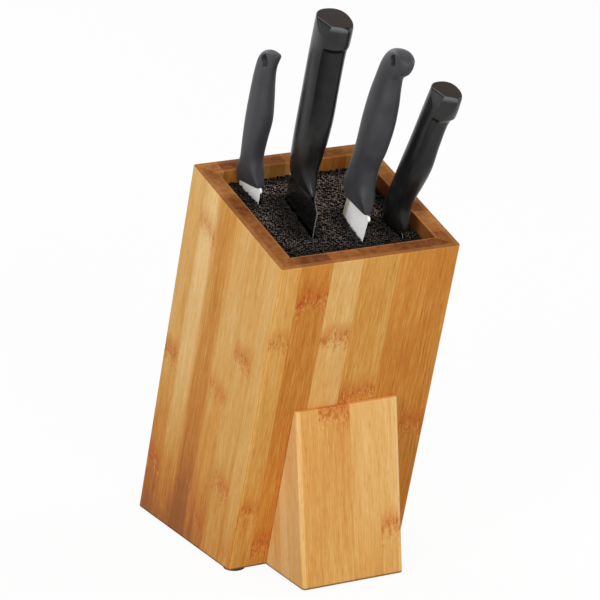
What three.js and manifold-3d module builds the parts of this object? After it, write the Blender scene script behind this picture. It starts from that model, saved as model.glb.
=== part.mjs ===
// Knife block with knives.
// A square tube of four mitred bamboo panels leans forward on a bamboo wedge that is screwed to its front.
// Inside it stands a lift-out tray of upright plastic bristles. Four knives are pushed down between them.
// Millimetres, +Z up, X to the right, -Y to the front, where the wedge is and where the tube leans.

import * as THREE from 'three';
import { mergeVertices } from 'three/addons/utils/BufferGeometryUtils.js';
import { LoftGeometry } from 'three/addons/geometries/LoftGeometry.js';
import Module from 'manifold-3d';

const wasm = await Module();
wasm.setup();

// ----------------------------------------------------------------------------------------------------
// Driving dimensions
// ----------------------------------------------------------------------------------------------------

// Fits
const glueLine = 0.15;          // between wooden faces that are glued together
const seatGap = 0.3;            // between pieces that rest on or hold each other
const padGlue = 0.1;            // adhesive film above each foot
const bladeRoom = 0.5;          // between a blade's side and the bristles

// Square tube. In its own leaning frame Z runs along it, and the origin is on the plane of its cut bottom.
const lean = THREE.MathUtils.degToRad(17);
const tubeWidth = 125;
const tubeDepth = 125;
const tubeHeight = 246;         // along the axis, from the bottom plane to the rim
const panelThickness = 12;
const arrisRadius = 2;
const originReach = 41;         // from the tube's axis at its bottom forward to the part's origin

// Floor board, let into a groove round the inside of the tube
const floorHeight = 26;
const floorThickness = 8;
const grooveDepth = 4;

// Wedge in front
const wedgeWidth = 72;
const wedgeHeight = 114;
const wedgeReach = 51;          // how far its bottom stands out in front of the tube
const wedgeTop = 4;             // depth of the narrow flat on top
const wedgeArris = 1;

// Two countersunk screws through the front panel into the wedge
const screwHeights = [44, 84];
const screwLength = 32;
const screwPoint = 5;
const screwRadius = 2;
const screwHeadRadius = 4;
const screwHeadDepth = 2.4;
const screwSink = 0.5;          // from the panel's face down to the head
const screwClearance = 0.15;
const recessLength = 4.4;
const recessWidth = 0.9;
const recessDepth = 1.4;

// Feet
const footRadius = 7;
const footHeight = 2;
const footRounding = 0.6;
const footInset = 8.5;          // from the outside of the tube to a foot's centre
const backFootInset = 18;       // from the tube's side to a back foot's centre
const wedgeFootInset = 12;      // from the wedge's side to its foot's centre
const wedgeFootReach = 34;      // from the front of the tube to a wedge foot's centre

// Tray of bristles
const trayClearance = 0.5;
const trayHeight = 40;
const trayWall = 1.5;
const trayFloor = 2.5;
const trayCorner = 3;
const bristleRecess = 7.5;      // from the rim down to the tips of the bristles

// Knives. Each has its own frame: the origin is where the middle of its blade enters the bristles, Z runs up
// the knife, the cutting edge faces -Y, and X is across the blade. Heights are from the bristles' tips, and
// back and front are distances from the knife's Z axis towards its spine and its edge. A knife's entry is
// measured from the inner walls that it stands near: a side of -1 is the left or front wall, 1 the right or
// back wall, and 0 the middle of the tube.
const tangRoom = 0.3;
const gripRoundness = 2.4;      // exponent of a handle's oval section, 2 for an ellipse
const gripPoints = 24;
const gripSpacing = 7;
const knives = [
    {
        name: 'paring_knife', side: [-1, 1], entry: [16, -14.5],
        turn: 2.8, leanForward: -1, leanRight: 0, ceramic: true,
        blade: {
            back: 12, front: 12, depth: 68, thickness: 1.8,
            edge: 0.4, belly: 40, spineBend: 30, tipDrop: 9,
        },
        heel: { lobe: 2 },
        tang: { back: 7, front: 1, top: 50 },
        bottom: { height: 5.5, slope: 0.27, round: 1 },
        grip: [
            { height: 5, back: 12.4, front: 12.6, thick: 8 },
            { height: 14, back: 12, front: 8.2, thick: 10.5 },
            { height: 25, back: 11.3, front: 5, thick: 12.5 },
            { height: 38, back: 12, front: 6, thick: 13.5 },
            { height: 52, back: 12.4, front: 8.2, thick: 14 },
            { height: 66, back: 12.2, front: 7, thick: 13 },
            { height: 80, back: 12.4, front: 5.8, thick: 10.5 },
            { height: 90, back: 12, front: 6.6, thick: 8 },
            { height: 100, back: 11.4, front: 9.9, thick: 7 },
        ],
        butt: { back: 12.7, front: 2, side: 2.5, slope: 0.14 },
        hangHole: { height: 92.8, back: 0.9, radius: 3.3, point: 3.9 },
    },
    {
        name: 'chef_knife', side: [-1, 0], entry: [34.5, 2.5],
        turn: -5, leanForward: 1, leanRight: 0, ceramic: false,
        blade: {
            back: 21.5, front: 22.5, depth: 184, thickness: 2.4,
            edge: 0.4, belly: 130, spineBend: 90, tipDrop: 12,
        },
        heel: { height: 16.3, slope: 0.5 },
        tang: { back: 12, front: 2, top: 112 },
        bottom: { height: 20, slope: 0.12, round: 1.5 },
        grip: [
            { height: 20, back: 20.5, front: 13.8, thick: 9 },
            { height: 30, back: 20, front: 11.8, thick: 13.5 },
            { height: 41, back: 18.8, front: 8.8, thick: 17 },
            { height: 54, back: 18, front: 8.5, thick: 19 },
            { height: 72, back: 17.2, front: 10, thick: 20 },
            { height: 88, back: 16.8, front: 10.2, thick: 20.5 },
            { height: 104, back: 16.2, front: 9.5, thick: 21 },
            { height: 118, back: 16.2, front: 9.8, thick: 21 },
            { height: 132, back: 16.5, front: 11.4, thick: 21 },
            { height: 140, back: 15.8, front: 11, thick: 21 },
        ],
        butt: { back: 2.5, front: 2, side: 2, slope: 0 },
        channel: { from: 50, to: 124.5, width: 14, depth: 2.8, fade: 26 },
    },
    {
        name: 'utility_knife', side: [0, 0], entry: [12.5, -15.7],
        turn: -5.6, leanForward: 4, leanRight: 2, ceramic: true,
        blade: {
            back: 16.8, front: 16.8, depth: 125, thickness: 2,
            edge: 0.4, belly: 80, spineBend: 60, tipDrop: 11,
        },
        heel: { lobe: 2.2 },
        tang: { back: 9, front: 1, top: 78 },
        bottom: { height: 14, slope: 0.33, round: 1 },
        grip: [
            { height: 14, back: 18, front: 14.8, thick: 9 },
            { height: 23, back: 18.6, front: 11.4, thick: 12 },
            { height: 33, back: 18.2, front: 7, thick: 14.5 },
            { height: 44, back: 16.2, front: 5, thick: 16 },
            { height: 58, back: 15.8, front: 7.8, thick: 17 },
            { height: 76, back: 16.7, front: 9.3, thick: 17.5 },
            { height: 92, back: 16.9, front: 8.4, thick: 16 },
            { height: 106, back: 15.8, front: 6.2, thick: 13.5 },
            { height: 113, back: 15.4, front: 7, thick: 12 },
            { height: 120, back: 15.2, front: 13.4, thick: 11 },
            { height: 131.3, back: 14.3, front: 20, thick: 11 },
        ],
        butt: { back: 21, front: 11, side: 3, slope: 0 },
        hangHole: { height: 124.2, back: -3, radius: 2.9, point: 3.8 },
    },
    {
        name: 'slicing_knife', side: [1, -1], entry: [-13.5, 26.5],
        turn: 3, leanForward: 7, leanRight: 4.5, ceramic: false,
        blade: {
            back: 11, front: 11, depth: 144, thickness: 2,
            edge: 0.4, belly: 70, spineBend: 60, tipDrop: 7,
        },
        heel: { height: 2.5, slope: 0.5 },
        tang: { back: 5, front: 3, top: 84 },
        bottom: { height: 5, slope: 0.2, round: 1.5 },
        grip: [
            { height: 5, back: 12, front: 11.6, thick: 9.5 },
            { height: 12, back: 12.4, front: 10.4, thick: 13.5 },
            { height: 22, back: 12.4, front: 7.6, thick: 16 },
            { height: 36, back: 11.5, front: 8, thick: 18 },
            { height: 52, back: 10.4, front: 10.4, thick: 18.5 },
            { height: 68, back: 9, front: 10.8, thick: 19 },
            { height: 82, back: 8.3, front: 10.8, thick: 19 },
            { height: 96, back: 8, front: 12.8, thick: 19 },
            { height: 108.5, back: 7.4, front: 12.2, thick: 18.5 },
        ],
        butt: { back: 2.5, front: 2, side: 2, slope: 0 },
        channel: { from: 32, to: 92, width: 12.5, depth: 2.5, fade: 22 },
    },
];

// ----------------------------------------------------------------------------------------------------
// Materials
// ----------------------------------------------------------------------------------------------------

const bamboo = new THREE.MeshStandardMaterial({ color: 0xd79a55, roughness: 0.45, metalness: 0 });
const paleBamboo = new THREE.MeshStandardMaterial({ color: 0xe0ad6c, roughness: 0.45, metalness: 0 });
const footRubber = new THREE.MeshStandardMaterial({ color: 0x1c1c1c, roughness: 0.85, metalness: 0 });
const zincSteel = new THREE.MeshStandardMaterial({ color: 0xb8b8b4, roughness: 0.35, metalness: 1 });
const trayPlastic = new THREE.MeshStandardMaterial({ color: 0x17171a, roughness: 0.55, metalness: 0 });
const bristlePlastic = new THREE.MeshStandardMaterial({ color: 0x1f1b1a, roughness: 0.5, metalness: 0 });
const whiteCeramic = new THREE.MeshStandardMaterial({ color: 0xf4f3f0, roughness: 0.25, metalness: 0 });
const bladeSteel = new THREE.MeshStandardMaterial({ color: 0xb9bcc0, roughness: 0.3, metalness: 1 });
const softGrip = new THREE.MeshStandardMaterial({ color: 0x3c3c3f, roughness: 0.65, metalness: 0 });
const hardGrip = new THREE.MeshStandardMaterial({ color: 0x161618, roughness: 0.4, metalness: 0 });

// ----------------------------------------------------------------------------------------------------
// Solids and cuts
// ----------------------------------------------------------------------------------------------------

function toSolid(geometry) {
    const bare = new THREE.BufferGeometry();
    bare.setAttribute('position', geometry.attributes.position);
    bare.setIndex(geometry.index);
    const merged = mergeVertices(bare);
    const vertProperties = new Float32Array(merged.attributes.position.array);
    const triVerts = new Uint32Array(merged.index.array);
    return new wasm.Manifold(new wasm.Mesh({ numProp: 3, vertProperties, triVerts }));
}

function toGeometry(solid) {
    const { vertProperties, triVerts } = solid.getMesh();
    const geometry = new THREE.BufferGeometry();
    geometry.setAttribute('position', new THREE.BufferAttribute(vertProperties, 3));
    geometry.setIndex(new THREE.BufferAttribute(triVerts, 1));
    const faceted = geometry.toNonIndexed();
    faceted.computeVertexNormals();
    return faceted;
}

function cut(geometry, ...cutters) {
    return toGeometry(cutters.reduce((solid, cutter) => solid.subtract(toSolid(cutter)), toSolid(geometry)));
}

function join(...geometries) {
    return toGeometry(geometries.map(toSolid).reduce((joined, solid) => joined.add(solid)));
}

function mesh(name, geometry, material) {
    const piece = new THREE.Mesh(geometry, material);
    piece.name = name;
    return piece;
}

// A box given by its range along each axis
function box(x, y, z) {
    const geometry = new THREE.BoxGeometry(x[1] - x[0], y[1] - y[0], z[1] - z[0]);
    return geometry.translate((x[0] + x[1]) / 2, (y[0] + y[1]) / 2, (z[0] + z[1]) / 2);
}

// A shape drawn in the YZ plane and extruded along X, centred on x = 0
const yzPlane = new THREE.Matrix4().makeBasis(
    new THREE.Vector3(0, 1, 0), new THREE.Vector3(0, 0, 1), new THREE.Vector3(1, 0, 0),
);

function sideProfile(shape, width, arris = 0) {
    const geometry = new THREE.ExtrudeGeometry(shape, {
        depth: width - 2 * arris, curveSegments: 14, bevelEnabled: arris > 0,
        bevelThickness: arris, bevelSize: arris, bevelOffset: -arris, bevelSegments: 2,
    });
    return geometry.translate(0, 0, arris - width / 2).applyMatrix4(yzPlane);
}

// ----------------------------------------------------------------------------------------------------
// Tube, in the leaning frame
// ----------------------------------------------------------------------------------------------------

const innerWidth = tubeWidth - 2 * panelThickness;
const innerDepth = tubeDepth - 2 * panelThickness;
const floorTop = floorHeight + floorThickness;

// Everything below the plane of the tube's cut bottom
const belowBottom = box([-tubeWidth, tubeWidth], [-2 * tubeDepth, 2 * tubeDepth], [-tubeDepth, 0]);
belowBottom.rotateX(-lean);

// A panel's section across the tube: outer face on y = 0, inner face on y = panelThickness, ends mitred at
// 45 degrees, each with its half of the rounded arris
function panelSection(width) {
    const half = width / 2 - glueLine / Math.SQRT2;
    const shape = new THREE.Shape();
    shape.absarc(-half + arrisRadius, arrisRadius, arrisRadius, 1.25 * Math.PI, 1.5 * Math.PI);
    shape.absarc(half - arrisRadius, arrisRadius, arrisRadius, 1.5 * Math.PI, 1.75 * Math.PI);
    shape.lineTo(half - panelThickness, panelThickness);
    shape.lineTo(-half + panelThickness, panelThickness);
    return shape;
}

// A panel of the given outer width, its face at that distance from the axis, turned round to its side
function panel(width, distance, turn, ...holes) {
    const blank = new THREE.ExtrudeGeometry(panelSection(width), {
        depth: tubeHeight + tubeDepth / 2, bevelEnabled: false, curveSegments: 4,
    });
    blank.translate(0, -distance, -tubeDepth / 2).rotateZ(turn);
    const groove = box(
        [-innerWidth / 2 - grooveDepth, innerWidth / 2 + grooveDepth],
        [-innerDepth / 2 - grooveDepth, innerDepth / 2 + grooveDepth],
        [floorHeight - glueLine, floorTop + glueLine],
    );
    return cut(blank, belowBottom, groove, ...holes);
}

function floorBoard() {
    const halfWidth = innerWidth / 2 + grooveDepth - glueLine;
    const halfDepth = innerDepth / 2 + grooveDepth - glueLine;
    return box([-halfWidth, halfWidth], [-halfDepth, halfDepth], [floorHeight, floorTop]);
}

// ----------------------------------------------------------------------------------------------------
// Screws, in the leaning frame: their heads are inside the tube, and they point to the front
// ----------------------------------------------------------------------------------------------------

const screwSeat = -innerDepth / 2 - screwSink;

// From the point up to the rim of the head, `room` larger all round
function screwProfile(room) {
    return [
        new THREE.Vector2(0, -screwLength - room),
        new THREE.Vector2(screwRadius + room, -screwLength + screwPoint),
        new THREE.Vector2(screwRadius + room, -screwHeadDepth),
        new THREE.Vector2(screwHeadRadius + room, 0),
    ];
}

function screw(height) {
    const body = new THREE.LatheGeometry([...screwProfile(0), new THREE.Vector2(0, 0)], 20);
    const reach = recessLength / 2;
    const bar = box([-reach, reach], [-recessDepth, recessDepth], [-recessWidth / 2, recessWidth / 2]);
    return cut(body, bar, bar.clone().rotateY(Math.PI / 2)).translate(0, screwSeat, height);
}

function screwHole(height) {
    const mouth = screwSink + screwClearance;
    const top = [new THREE.Vector2(screwHeadRadius + screwClearance, mouth), new THREE.Vector2(0, mouth)];
    const hole = new THREE.LatheGeometry([...screwProfile(screwClearance), ...top], 20);
    return hole.translate(0, screwSeat, height);
}

// ----------------------------------------------------------------------------------------------------
// Wedge and feet, upright, with z = 0 on the plane of the tube's bottom
// ----------------------------------------------------------------------------------------------------

const bottomHalfDepth = tubeDepth / 2 / Math.cos(lean);

function wedge() {
    const back = -bottomHalfDepth - glueLine / Math.cos(lean);
    const topBack = back - wedgeHeight * Math.tan(lean);
    const shape = new THREE.Shape();
    shape.moveTo(back, 0);
    shape.lineTo(topBack, wedgeHeight);
    shape.lineTo(topBack - wedgeTop, wedgeHeight);
    shape.lineTo(-bottomHalfDepth - wedgeReach, 0);
    const holes = screwHeights.map((height) => screwHole(height).rotateX(lean));
    return cut(sideProfile(shape, wedgeWidth, wedgeArris), ...holes);
}

function foot(x, y) {
    const rounding = [0, 0.25, 0.5, 0.75, 1].map((share) => {
        const angle = (share - 1) * Math.PI / 2;
        const radius = footRadius - footRounding + footRounding * Math.cos(angle);
        return new THREE.Vector2(radius, footRounding + footRounding * Math.sin(angle));
    });
    const height = footHeight - padGlue;
    const top = [new THREE.Vector2(footRadius, height), new THREE.Vector2(0, height)];
    const body = join(new THREE.LatheGeometry([new THREE.Vector2(0, 0), ...rounding, ...top], 28));
    return body.rotateX(Math.PI / 2).translate(x, y, -footHeight);
}

function feet() {
    const front = -bottomHalfDepth + footInset;
    const back = bottomHalfDepth - footInset;
    const wedgeY = -bottomHalfDepth - wedgeFootReach;
    const places = {
        front: [tubeWidth / 2 - footInset, front],
        back: [tubeWidth / 2 - backFootInset, back],
        wedge: [wedgeWidth / 2 - wedgeFootInset, wedgeY],
    };
    return Object.entries(places).flatMap(([place, [x, y]]) => [
        mesh(`foot_${place}_left`, foot(-x, y), footRubber),
        mesh(`foot_${place}_right`, foot(x, y), footRubber),
    ]);
}

// ----------------------------------------------------------------------------------------------------
// Tray and bristles, in the leaning frame
// ----------------------------------------------------------------------------------------------------

const trayBottom = floorTop + seatGap;
const trayTop = trayBottom + trayHeight;
const bristleTop = tubeHeight - bristleRecess;
const insertWidth = innerWidth - 2 * trayClearance;
const insertDepth = innerDepth - 2 * trayClearance;

function roundedBlock(width, depth, corner, z) {
    const x = width / 2 - corner;
    const y = depth / 2 - corner;
    const shape = new THREE.Shape();
    shape.absarc(x, -y, corner, -Math.PI / 2, 0);
    shape.absarc(x, y, corner, 0, Math.PI / 2);
    shape.absarc(-x, y, corner, Math.PI / 2, Math.PI);
    shape.absarc(-x, -y, corner, Math.PI, 1.5 * Math.PI);
    const height = z[1] - z[0];
    const block = new THREE.ExtrudeGeometry(shape, { depth: height, bevelEnabled: false, curveSegments: 4 });
    return block.translate(0, 0, z[0]);
}

function tray() {
    const hollow = roundedBlock(
        insertWidth - 2 * trayWall, insertDepth - 2 * trayWall, trayCorner - trayWall,
        [trayBottom + trayFloor, trayTop + trayWall],
    );
    return cut(roundedBlock(insertWidth, insertDepth, trayCorner, [trayBottom, trayTop]), hollow);
}

// All the bristles as one mass: they fill the tray, and above it they reach as far out as its walls
function bristleMass() {
    const inset = 2 * (trayWall + seatGap);
    const inTray = roundedBlock(
        insertWidth - inset, insertDepth - inset, trayCorner - trayWall,
        [trayBottom + trayFloor + seatGap, trayTop + 2 * seatGap],
    );
    return join(inTray, roundedBlock(insertWidth, insertDepth, trayCorner, [trayTop + seatGap, bristleTop]));
}

// Everything on one side of a knife, from the slot its blade stands in outwards
function besideKnife(knife, side) {
    const far = 2 * tubeWidth;
    const slot = knife.blade.thickness / 2 + bladeRoom;
    const x = side < 0 ? [-far, slot] : [-slot, far];
    return box(x, [-far, far], [-far, far]).applyMatrix4(knifePlace(knife));
}

// The bristles between two neighbouring knives, or between an outer knife and the wall
function bristleBank(leftKnife, rightKnife) {
    const cutters = [];
    if (leftKnife) cutters.push(besideKnife(leftKnife, -1));
    if (rightKnife) cutters.push(besideKnife(rightKnife, 1));
    return cut(bristleMass(), ...cutters);
}

function bristleBanks() {
    return [...knives, null].map((knife, index) => {
        const bank = bristleBank(knives[index - 1], knife);
        return mesh(`bristle_bank_${index + 1}`, bank, bristlePlastic);
    });
}

// ----------------------------------------------------------------------------------------------------
// Knives, each in its own frame
// ----------------------------------------------------------------------------------------------------

// The knife's frame in the leaning frame of the tube
function knifePlace(knife) {
    const turn = new THREE.Euler(
        THREE.MathUtils.degToRad(knife.leanForward),
        THREE.MathUtils.degToRad(knife.leanRight),
        THREE.MathUtils.degToRad(knife.turn),
        'YXZ',
    );
    const x = (knife.side[0] * innerWidth) / 2 + knife.entry[0];
    const y = (knife.side[1] * innerDepth) / 2 + knife.entry[1];
    return new THREE.Matrix4().makeRotationFromEuler(turn).setPosition(x, y, bristleTop);
}

// Everything above a plane that crosses the knife at `height` and rises by `slope` towards the front
function above(height, slope, reach) {
    const block = box([-reach, reach], [-reach, reach], [0, 2 * reach]);
    return block.rotateX(-Math.atan(slope)).translate(0, 0, height);
}

// A flat-ground blade as a stack of sections from the tip up to its shoulders
function blade({ blade, heel, tang, bottom, ceramic }) {
    const { back, front, depth, thickness, edge, belly, spineBend, tipDrop } = blade;
    const top = bottom.height + bottom.slope * front;
    const rise = [0, 0.01, 0.03, 0.06, 0.1, 0.16, 0.23, 0.31, 0.4, 0.5, 0.62, 0.8, 1];
    const sections = rise.map((share) => {
        const z = -depth + share * (depth + top);
        const bellyShare = Math.max(0, 1 - (z + depth) / belly);
        const spineShare = Math.max(0, 1 - (z + depth) / spineBend);
        const spine = back - tipDrop * spineShare ** 2;
        const cuttingEdge = -front + (front + back - tipDrop - edge) * bellyShare ** 2.4;
        const grind = cuttingEdge + 0.6 * (spine - cuttingEdge);
        return [
            new THREE.Vector3(thickness / 2, spine, z),
            new THREE.Vector3(-thickness / 2, spine, z),
            new THREE.Vector3(-thickness / 2, grind, z),
            new THREE.Vector3(-edge / 2, cuttingEdge, z),
            new THREE.Vector3(edge / 2, cuttingEdge, z),
            new THREE.Vector3(thickness / 2, grind, z),
        ];
    });
    const ground = new LoftGeometry(sections, { capStart: true, capEnd: true });
    const shoulder = bottom.height - seatGap;
    const body = cut(ground, above(shoulder, bottom.slope, depth));
    const tangBar = box([-thickness / 2, thickness / 2], [-tang.front, tang.back], [0, tang.top]);
    if (ceramic) return join(body, tangBar, heelLobe(blade, heel, shoulder + bottom.slope * front));
    return join(cut(body, above(heel.height + heel.slope * front, -heel.slope, depth)), tangBar);
}

// The round lobe at the heel of a ceramic blade
function heelLobe({ front, thickness }, { lobe }, height) {
    const disc = new THREE.CylinderGeometry(lobe, lobe, thickness * 0.7, 16).rotateZ(Math.PI / 2);
    return disc.translate(0, -front + lobe / 3, height - lobe);
}

function spline(stations, value) {
    const points = stations.map((station) => new THREE.Vector2(station.height, station[value]));
    const steps = new THREE.SplineCurve(points).getPoints(12 * (stations.length - 1));
    return (height) => {
        const next = Math.max(1, steps.findIndex((step) => step.x >= height));
        const from = steps[next - 1];
        const share = THREE.MathUtils.clamp((height - from.x) / (steps[next].x - from.x), 0, 1);
        return THREE.MathUtils.lerp(from.y, steps[next].y, share);
    };
}

// How far a rounded end of radius `round` has drawn in at `distance` from the end
function drawIn(distance, round) {
    const left = Math.max(0, round - distance);
    return round - Math.sqrt(round ** 2 - left ** 2);
}

// Heights of a handle's sections: close together where the ends round over
function sectionHeights(low, high, lowRound, highRound) {
    const inLow = [0, 0.3, 1].map((share) => low + lowRound * share);
    const inHigh = [0.6, 0.3, 0.1, 0.02].map((share) => high - highRound * share);
    const start = low + lowRound;
    const span = high - highRound - start;
    const count = Math.ceil(span / gripSpacing);
    const between = Array.from({ length: count }, (_, index) => start + (span * (index + 1)) / count);
    return [...inLow, ...between, ...inHigh];
}

function handle(knife) {
    const { grip, bottom, butt, tang, blade: steel } = knife;
    const back = spline(grip, 'back');
    const front = spline(grip, 'front');
    const thick = spline(grip, 'thick');
    const low = bottom.height;
    const high = grip[grip.length - 1].height;
    const heights = sectionHeights(low, high, bottom.round, Math.max(butt.back, butt.front));
    const sections = heights.map((height) => {
        const fromTop = high - height;
        const fromBottom = height - low;
        const rounding = drawIn(fromBottom, bottom.round);
        const spine = back(height) - rounding - drawIn(fromTop, butt.back);
        const belly = -front(height) + rounding + drawIn(fromTop, butt.front);
        const halfThick = thick(height) / 2 - rounding - drawIn(fromTop, butt.side);
        const share = THREE.MathUtils.smoothstep(fromBottom / (high - low), 0, 1);
        const slope = THREE.MathUtils.lerp(bottom.slope, butt.slope, share);
        return Array.from({ length: gripPoints }, (_, index) => {
            const angle = (2 * Math.PI * index) / gripPoints;
            const across = oval(Math.cos(angle)) * halfThick;
            const along = (spine + belly) / 2 + (oval(Math.sin(angle)) * (spine - belly)) / 2;
            return new THREE.Vector3(across, along, height - slope * along);
        });
    });
    const body = new LoftGeometry(sections, { capStart: true, capEnd: true });
    const slot = box(
        [-steel.thickness / 2 - tangRoom, steel.thickness / 2 + tangRoom],
        [-tang.front - tangRoom, tang.back + tangRoom],
        [-tang.top, tang.top + tangRoom],
    );
    const cutters = [slot];
    if (knife.hangHole) cutters.push(hangHole(knife.hangHole));
    if (knife.channel) cutters.push(channel(knife.channel, front));
    return cut(body, ...cutters);
}

function oval(value) {
    return Math.sign(value) * Math.abs(value) ** (2 / gripRoundness);
}

// A teardrop through the handle, with its point up
function hangHole({ height, back, radius, point }) {
    const side = Math.acos(radius / point);
    const shape = new THREE.Shape();
    shape.absarc(back, height, radius, Math.PI / 2 + side, 2.5 * Math.PI - side);
    shape.lineTo(back, height + point);
    return sideProfile(shape, 40);
}

// A shallow recess down the belly of a handle, ending squarely under the hook at its butt. Its floor comes
// in from outside the handle along the fade.
function channel({ from, to, width, depth, fade }, front) {
    const steps = 12;
    const sections = Array.from({ length: steps + 1 }, (_, index) => {
        const z = from + ((to - from) * index) / steps;
        const share = Math.min(1, (z - from) / fade);
        const sunk = THREE.MathUtils.lerp(-depth / 4, depth, share);
        const floor = -front(z) + sunk;
        const outside = -front(z) - 2 * depth;
        return [
            new THREE.Vector3(width / 2, floor, z),
            new THREE.Vector3(-width / 2, floor, z),
            new THREE.Vector3(-width / 2, outside, z),
            new THREE.Vector3(width / 2, outside, z),
        ];
    });
    return new LoftGeometry(sections, { capStart: true, capEnd: true });
}

function knifePieces(knife) {
    const group = new THREE.Group();
    group.applyMatrix4(knifePlace(knife));
    group.add(
        mesh(`${knife.name}_blade`, blade(knife), knife.ceramic ? whiteCeramic : bladeSteel),
        mesh(`${knife.name}_handle`, handle(knife), knife.ceramic ? softGrip : hardGrip),
    );
    return group;
}

// ----------------------------------------------------------------------------------------------------
// Assembly
// ----------------------------------------------------------------------------------------------------

const tube = new THREE.Group();
tube.rotation.x = lean;
tube.add(
    mesh('front_panel', panel(tubeWidth, tubeDepth / 2, 0, ...screwHeights.map(screwHole)), bamboo),
    mesh('right_panel', panel(tubeDepth, tubeWidth / 2, Math.PI / 2), bamboo),
    mesh('back_panel', panel(tubeWidth, tubeDepth / 2, Math.PI), bamboo),
    mesh('left_panel', panel(tubeDepth, tubeWidth / 2, -Math.PI / 2), bamboo),
    mesh('floor_board', floorBoard(), bamboo),
    ...screwHeights.map((height, index) => mesh(`wedge_screw_${index + 1}`, screw(height), zincSteel)),
    mesh('bristle_tray', tray(), trayPlastic),
    ...bristleBanks(),
    ...knives.map(knifePieces),
);

const knifeBlock = new THREE.Group();
knifeBlock.position.set(0, originReach, footHeight);
knifeBlock.add(tube, mesh('support_wedge', wedge(), paleBamboo), ...feet());

export default knifeBlock;
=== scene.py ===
import math
import random

import bmesh
import bpy
from mathutils import Matrix, Vector


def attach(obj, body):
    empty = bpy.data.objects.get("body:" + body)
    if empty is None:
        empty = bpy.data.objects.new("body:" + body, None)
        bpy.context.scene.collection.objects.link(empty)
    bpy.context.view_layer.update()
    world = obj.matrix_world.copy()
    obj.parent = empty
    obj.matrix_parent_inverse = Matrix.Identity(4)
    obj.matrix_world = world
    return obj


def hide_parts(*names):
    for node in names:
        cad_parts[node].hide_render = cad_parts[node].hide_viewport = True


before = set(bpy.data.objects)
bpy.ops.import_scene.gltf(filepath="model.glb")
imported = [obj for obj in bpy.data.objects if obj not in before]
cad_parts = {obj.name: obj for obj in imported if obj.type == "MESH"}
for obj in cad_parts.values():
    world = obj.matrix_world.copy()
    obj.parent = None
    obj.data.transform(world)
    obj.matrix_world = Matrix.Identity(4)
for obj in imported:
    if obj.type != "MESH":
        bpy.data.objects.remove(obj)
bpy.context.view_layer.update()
mm = 0.001

# ----------------------------------------
# Studio: a white table that fades into a white room. A big soft lamp stands to the left, a low wide one
# in front, a tall one to the right, and one behind rims the handles. The camera is a long lens a little
# above the knives, looking down at the block's front left corner.
# ----------------------------------------

camera_place = Vector((-1045.8, -1930.7, 854.0)) * mm
camera_yaw = math.radians(28.43)
camera_pitch = math.radians(17.39)
camera_roll = math.radians(0.85)

bpy.ops.object.select_all(action="DESELECT")
bpy.ops.object.camera_add(location=camera_place)
camera = bpy.context.object
camera.rotation_euler = (
    Matrix.Rotation(-camera_yaw, 3, "Z")
    @ Matrix.Rotation(math.pi / 2 - camera_pitch, 3, "X")
    @ Matrix.Rotation(camera_roll, 3, "Z")
).to_euler()
camera.data.lens = 218.2
camera.data.sensor_width = 36
camera.data.clip_end = 20
bpy.context.scene.camera = camera
bpy.context.scene.view_settings.view_transform = "Standard"

# Where each lamp stands, in metres, its width and height, and its power in watts
lamps = {
    "left_lamp": ((-1.9, -1.0, 0.9), 1.2, 1.2, 28),
    "front_lamp": ((-0.3, -2.0, 1.0), 0.9, 0.18, 20),
    "right_lamp": ((1.7, -0.5, 1.0), 0.6, 1.0, 13),
    "back_lamp": ((-0.3, 1.9, 1.2), 1.2, 0.8, 16),
}
lamp_aim = Vector((0, 0, 0.2))
for lamp_name, (lamp_place, width, height, power) in lamps.items():
    bpy.ops.object.light_add(type="AREA", location=lamp_place)
    lamp = bpy.context.object
    lamp.name = lamp_name
    lamp.rotation_euler = (lamp_aim - Vector(lamp_place)).to_track_quat("-Z", "Y").to_euler()
    lamp.data.shape = "RECTANGLE"
    lamp.data.size = width
    lamp.data.size_y = height
    lamp.data.energy = power


def worked_out(operation):
    """One of the sums that shader nodes can do, as a method of a value."""
    settings = {"operation": operation}
    return lambda value, *others: value.tree.node("ShaderNodeMath", settings, value, *others)


class Value:
    """A number or colour that a shader node gives, with the signs of sums as operators."""

    __add__ = __radd__ = worked_out("ADD")
    __sub__ = worked_out("SUBTRACT")
    __mul__ = __rmul__ = worked_out("MULTIPLY")
    __truediv__ = worked_out("DIVIDE")
    __lt__ = worked_out("LESS_THAN")
    abs = worked_out("ABSOLUTE")
    power = worked_out("POWER")
    most = worked_out("MAXIMUM")

    def __init__(self, tree, socket):
        self.tree = tree
        self.socket = socket

    def __rsub__(self, other):
        return self.tree.node("ShaderNodeMath", {"operation": "SUBTRACT"}, other, self)

    def smooth(self, low, high):
        """0 below low, 1 above high, or the other way round if low is the larger."""
        steps = (low, high, 0.0, 1.0) if low < high else (high, low, 1.0, 0.0)
        return self.tree.node("ShaderNodeMapRange", {"interpolation_type": "SMOOTHSTEP"}, self, *steps)


def screen_colour(levels):
    """A colour given as 0 to 255 on screen, as the shader's linear numbers."""
    return tuple(
        ((level / 255 + 0.055) / 1.055) ** 2.4 if level > 10 else level / 255 / 12.92 for level in levels
    )


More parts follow.
